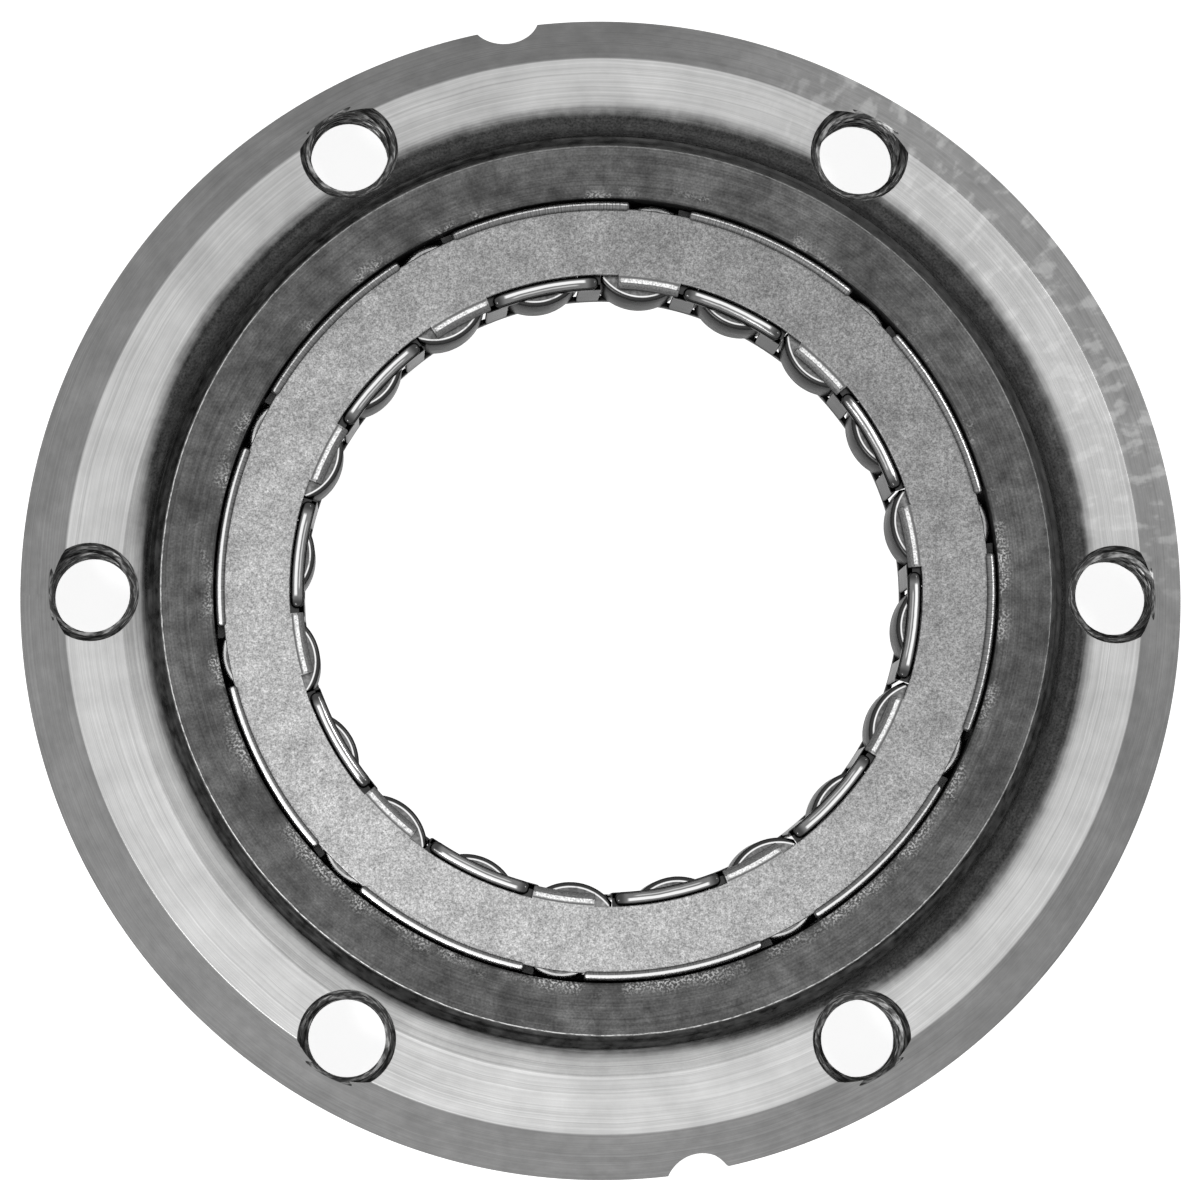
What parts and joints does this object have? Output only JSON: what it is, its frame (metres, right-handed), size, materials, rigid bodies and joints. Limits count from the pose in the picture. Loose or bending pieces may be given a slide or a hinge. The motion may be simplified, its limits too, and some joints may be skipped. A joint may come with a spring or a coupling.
{
  "type": "sprag clutch",
  "caption": "One-way clutch: flanged outer race with tapped bolt holes and a double-cage sprag cartridge in its bore, for a hub that drives one way and overruns the other.",
  "frame": {"origin": "on the clutch's axis, in the plane of the flange's back face", "axes": "+Z along the axis, from the back face to the open front of the hub; +X through a bolt hole"},
  "size_m": [0.1, 0.1, 0.0146],
  "materials": {
    "race_steel": "turned and ground steel",
    "outer_cage_steel": "pressed steel, dull and faintly grained",
    "inner_cage_steel": "pressed and polished steel",
    "spring_steel": "blued spring strip",
    "sprag_steel": "ground hardened steel"
  },
  "bodies": {
    "outer_race": {"outer_race": "race_steel"},
    "outer_cage": {"outer_cage": "outer_cage_steel"},
    "inner_cage": {"inner_cage": "inner_cage_steel", "ribbon_spring": "spring_steel"},
    "sprag_01": {"sprag_01": "sprag_steel"},
    "sprag_02": {"sprag_02": "sprag_steel"},
    "sprag_03": {"sprag_03": "sprag_steel"},
    "sprag_04": {"sprag_04": "sprag_steel"},
    "sprag_05": {"sprag_05": "sprag_steel"},
    "sprag_06": {"sprag_06": "sprag_steel"},
    "sprag_07": {"sprag_07": "sprag_steel"},
    "sprag_08": {"sprag_08": "sprag_steel"},
    "sprag_09": {"sprag_09": "sprag_steel"},
    "sprag_10": {"sprag_10": "sprag_steel"},
    "sprag_11": {"sprag_11": "sprag_steel"},
    "sprag_12": {"sprag_12": "sprag_steel"},
    "sprag_13": {"sprag_13": "sprag_steel"},
    "sprag_14": {"sprag_14": "sprag_steel"},
    "sprag_15": {"sprag_15": "sprag_steel"},
    "sprag_16": {"sprag_16": "sprag_steel"},
    "sprag_17": {"sprag_17": "sprag_steel"},
    "sprag_18": {"sprag_18": "sprag_steel"},
    "sprag_19": {"sprag_19": "sprag_steel"},
    "sprag_20": {"sprag_20": "sprag_steel"}
  },
  "joints": [
    {"name": "cage_spin", "type": "hinge", "parent": "outer_race", "child": "outer_cage", "pos_m": [0, 0, 0.0085], "axis": [0, 0, 1], "continuous": true},
    {"name": "sprag_01_roll", "type": "hinge", "parent": "outer_cage", "child": "sprag_01", "pos_m": [0.03208, 0.00635, 0.00845], "axis": [0, 0, 1], "range_deg": [-6, 0], "stiffness_Nm_per_rad": 0.01, "springref_deg": 5.73},
    {"name": "sprag_02_roll", "type": "hinge", "parent": "outer_cage", "child": "sprag_02", "pos_m": [0.02854, 0.01595, 0.00845], "axis": [0, 0, 1], "range_deg": [-6, 0], "stiffness_Nm_per_rad": 0.01, "springref_deg": 5.73},
    {"name": "sprag_03_roll", "type": "hinge", "parent": "outer_cage", "child": "sprag_03", "pos_m": [0.02222, 0.02399, 0.00845], "axis": [0, 0, 1], "range_deg": [-6, 0], "stiffness_Nm_per_rad": 0.01, "springref_deg": 5.73},
    {"name": "sprag_04_roll", "type": "hinge", "parent": "outer_cage", "child": "sprag_04", "pos_m": [0.01372, 0.02968, 0.00845], "axis": [0, 0, 1], "range_deg": [-6, 0], "stiffness_Nm_per_rad": 0.01, "springref_deg": 5.73},
    {"name": "sprag_05_roll", "type": "hinge", "parent": "outer_cage", "child": "sprag_05", "pos_m": [0.00387, 0.03247, 0.00845], "axis": [0, 0, 1], "range_deg": [-6, 0], "stiffness_Nm_per_rad": 0.01, "springref_deg": 5.73},
    {"name": "sprag_06_roll", "type": "hinge", "parent": "outer_cage", "child": "sprag_06", "pos_m": [-0.00635, 0.03208, 0.00845], "axis": [0, 0, 1], "range_deg": [-6, 0], "stiffness_Nm_per_rad": 0.01, "springref_deg": 5.73},
    {"name": "sprag_07_roll", "type": "hinge", "parent": "outer_cage", "child": "sprag_07", "pos_m": [-0.01595, 0.02854, 0.00845], "axis": [0, 0, 1], "range_deg": [-6, 0], "stiffness_Nm_per_rad": 0.01, "springref_deg": 5.73},
    {"name": "sprag_08_roll", "type": "hinge", "parent": "outer_cage", "child": "sprag_08", "pos_m": [-0.02399, 0.02222, 0.00845], "axis": [0, 0, 1], "range_deg": [-6, 0], "stiffness_Nm_per_rad": 0.01, "springref_deg": 5.73},
    {"name": "sprag_09_roll", "type": "hinge", "parent": "outer_cage", "child": "sprag_09", "pos_m": [-0.02968, 0.01372, 0.00845], "axis": [0, 0, 1], "range_deg": [-6, 0], "stiffness_Nm_per_rad": 0.01, "springref_deg": 5.73},
    {"name": "sprag_10_roll", "type": "hinge", "parent": "outer_cage", "child": "sprag_10", "pos_m": [-0.03247, 0.00387, 0.00845], "axis": [0, 0, 1], "range_deg": [-6, 0], "stiffness_Nm_per_rad": 0.01, "springref_deg": 5.73},
    {"name": "sprag_11_roll", "type": "hinge", "parent": "outer_cage", "child": "sprag_11", "pos_m": [-0.03208, -0.00635, 0.00845], "axis": [0, 0, 1], "range_deg": [-6, 0], "stiffness_Nm_per_rad": 0.01, "springref_deg": 5.73},
    {"name": "sprag_12_roll", "type": "hinge", "parent": "outer_cage", "child": "sprag_12", "pos_m": [-0.02854, -0.01595, 0.00845], "axis": [0, 0, 1], "range_deg": [-6, 0], "stiffness_Nm_per_rad": 0.01, "springref_deg": 5.73},
    {"name": "sprag_13_roll", "type": "hinge", "parent": "outer_cage", "child": "sprag_13", "pos_m": [-0.02222, -0.02399, 0.00845], "axis": [0, 0, 1], "range_deg": [-6, 0], "stiffness_Nm_per_rad": 0.01, "springref_deg": 5.73},
    {"name": "sprag_14_roll", "type": "hinge", "parent": "outer_cage", "child": "sprag_14", "pos_m": [-0.01372, -0.02968, 0.00845], "axis": [0, 0, 1], "range_deg": [-6, 0], "stiffness_Nm_per_rad": 0.01, "springref_deg": 5.73},
    {"name": "sprag_15_roll", "type": "hinge", "parent": "outer_cage", "child": "sprag_15", "pos_m": [-0.00387, -0.03247, 0.00845], "axis": [0, 0, 1], "range_deg": [-6, 0], "stiffness_Nm_per_rad": 0.01, "springref_deg": 5.73},
    {"name": "sprag_16_roll", "type": "hinge", "parent": "outer_cage", "child": "sprag_16", "pos_m": [0.00635, -0.03208, 0.00845], "axis": [0, 0, 1], "range_deg": [-6, 0], "stiffness_Nm_per_rad": 0.01, "springref_deg": 5.73},
    {"name": "sprag_17_roll", "type": "hinge", "parent": "outer_cage", "child": "sprag_17", "pos_m": [0.01595, -0.02854, 0.00845], "axis": [0, 0, 1], "range_deg": [-6, 0], "stiffness_Nm_per_rad": 0.01, "springref_deg": 5.73},
    {"name": "sprag_18_roll", "type": "hinge", "parent": "outer_cage", "child": "sprag_18", "pos_m": [0.02399, -0.02222, 0.00845], "axis": [0, 0, 1], "range_deg": [-6, 0], "stiffness_Nm_per_rad": 0.01, "springref_deg": 5.73},
    {"name": "sprag_19_roll", "type": "hinge", "parent": "outer_cage", "child": "sprag_19", "pos_m": [0.02968, -0.01372, 0.00845], "axis": [0, 0, 1], "range_deg": [-6, 0], "stiffness_Nm_per_rad": 0.01, "springref_deg": 5.73},
    {"name": "sprag_20_roll", "type": "hinge", "parent": "outer_cage", "child": "sprag_20", "pos_m": [0.03247, -0.00387, 0.00845], "axis": [0, 0, 1], "range_deg": [-6, 0], "stiffness_Nm_per_rad": 0.01, "springref_deg": 5.73},
    {"name": "inner_cage_shift", "type": "hinge", "parent": "outer_cage", "child": "inner_cage", "pos_m": [0, 0, 0.0085], "axis": [0, 0, 1], "range_deg": [0, 0.72]}
  ],
  "couplings": [
    {"joint": "sprag_02_roll", "follows": "sprag_01_roll", "ratio": 1},
    {"joint": "sprag_03_roll", "follows": "sprag_01_roll", "ratio": 1},
    {"joint": "sprag_04_roll", "follows": "sprag_01_roll", "ratio": 1},
    {"joint": "sprag_05_roll", "follows": "sprag_01_roll", "ratio": 1},
    {"joint": "sprag_06_roll", "follows": "sprag_01_roll", "ratio": 1},
    {"joint": "sprag_07_roll", "follows": "sprag_01_roll", "ratio": 1},
    {"joint": "sprag_08_roll", "follows": "sprag_01_roll", "ratio": 1},
    {"joint": "sprag_09_roll", "follows": "sprag_01_roll", "ratio": 1},
    {"joint": "sprag_10_roll", "follows": "sprag_01_roll", "ratio": 1},
    {"joint": "sprag_11_roll", "follows": "sprag_01_roll", "ratio": 1},
    {"joint": "sprag_12_roll", "follows": "sprag_01_roll", "ratio": 1},
    {"joint": "sprag_13_roll", "follows": "sprag_01_roll", "ratio": 1},
    {"joint": "sprag_14_roll", "follows": "sprag_01_roll", "ratio": 1},
    {"joint": "sprag_15_roll", "follows": "sprag_01_roll", "ratio": 1},
    {"joint": "sprag_16_roll", "follows": "sprag_01_roll", "ratio": 1},
    {"joint": "sprag_17_roll", "follows": "sprag_01_roll", "ratio": 1},
    {"joint": "sprag_18_roll", "follows": "sprag_01_roll", "ratio": 1},
    {"joint": "sprag_19_roll", "follows": "sprag_01_roll", "ratio": 1},
    {"joint": "sprag_20_roll", "follows": "sprag_01_roll", "ratio": 1},
    {"joint": "inner_cage_shift", "follows": "sprag_01_roll", "ratio": -0.116}
  ]
}
